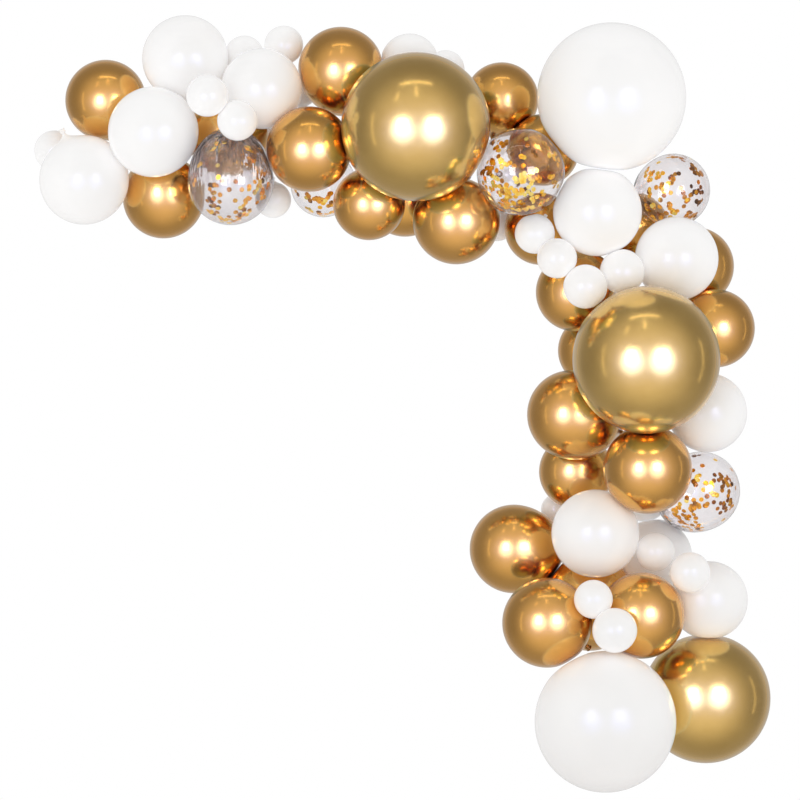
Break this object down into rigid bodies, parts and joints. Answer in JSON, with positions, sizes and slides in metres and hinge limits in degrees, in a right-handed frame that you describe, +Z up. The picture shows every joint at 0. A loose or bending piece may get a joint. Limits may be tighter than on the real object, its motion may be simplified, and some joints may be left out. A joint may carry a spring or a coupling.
{
  "type": "balloon garland",
  "caption": "Balloon garland of white, gold chrome and clear confetti balloons, with a level run, a corner and a leg down from it, fixed flat to a wall.",
  "frame": {"origin": "middle of the flat back of the gold balloon that lies against the wall at the corner, on the wall plane", "axes": "+Y into the wall, +Z up along the leg, +X to the right seen from the front, which looks along +Y"},
  "size_m": [2.3046, 0.7324, 2.4224],
  "materials": {
    "white_latex": "smooth, softly glossy white latex",
    "gold_latex": "mirror-like deep gold chrome latex",
    "pale_gold_latex": "mirror-like pale gold chrome latex",
    "clear_latex": "clear glossy latex with gold foil confetti inside"
  },
  "bodies": {
    "root": {"confetti_1": "clear_latex", "confetti_2": "clear_latex", "confetti_3": "clear_latex", "confetti_4": "clear_latex", "confetti_5": "clear_latex", "gold_large_1": "pale_gold_latex", "gold_large_2": "pale_gold_latex", "gold_large_3": "pale_gold_latex", "gold_medium_01": "gold_latex", "gold_medium_02": "gold_latex", "gold_medium_03": "gold_latex", "gold_medium_04": "gold_latex", "gold_medium_05": "gold_latex", "gold_medium_06": "gold_latex", "gold_medium_07": "gold_latex", "gold_medium_08": "gold_latex", "gold_medium_09": "gold_latex", "gold_medium_10": "gold_latex", "gold_medium_11": "gold_latex", "gold_medium_12": "gold_latex", "gold_medium_13": "gold_latex", "gold_medium_14": "gold_latex", "gold_medium_15": "gold_latex", "gold_medium_16": "gold_latex", "gold_medium_17": "gold_latex", "gold_medium_18": "gold_latex", "gold_medium_19": "gold_latex", "gold_medium_20": "gold_latex", "gold_medium_21": "gold_latex", "gold_medium_22": "gold_latex", "gold_medium_23": "gold_latex", "white_large_1": "white_latex", "white_large_2": "white_latex", "white_medium_01": "white_latex", "white_medium_02": "white_latex", "white_medium_03": "white_latex", "white_medium_04": "white_latex", "white_medium_05": "white_latex", "white_medium_06": "white_latex", "white_medium_07": "white_latex", "white_medium_08": "white_latex", "white_medium_09": "white_latex", "white_medium_10": "white_latex", "white_medium_11": "white_latex", "white_pair_1": "white_latex", "white_pair_2": "white_latex", "white_pair_3": "white_latex", "white_small_01": "white_latex", "white_small_02": "white_latex", "white_small_03": "white_latex", "white_small_04": "white_latex", "white_small_05": "white_latex", "white_small_06": "white_latex", "white_small_07": "white_latex", "white_small_08": "white_latex", "white_small_09": "white_latex", "white_small_10": "white_latex", "white_small_11": "white_latex", "white_small_12": "white_latex", "white_small_13": "white_latex"}
  },
  "joints": []
}
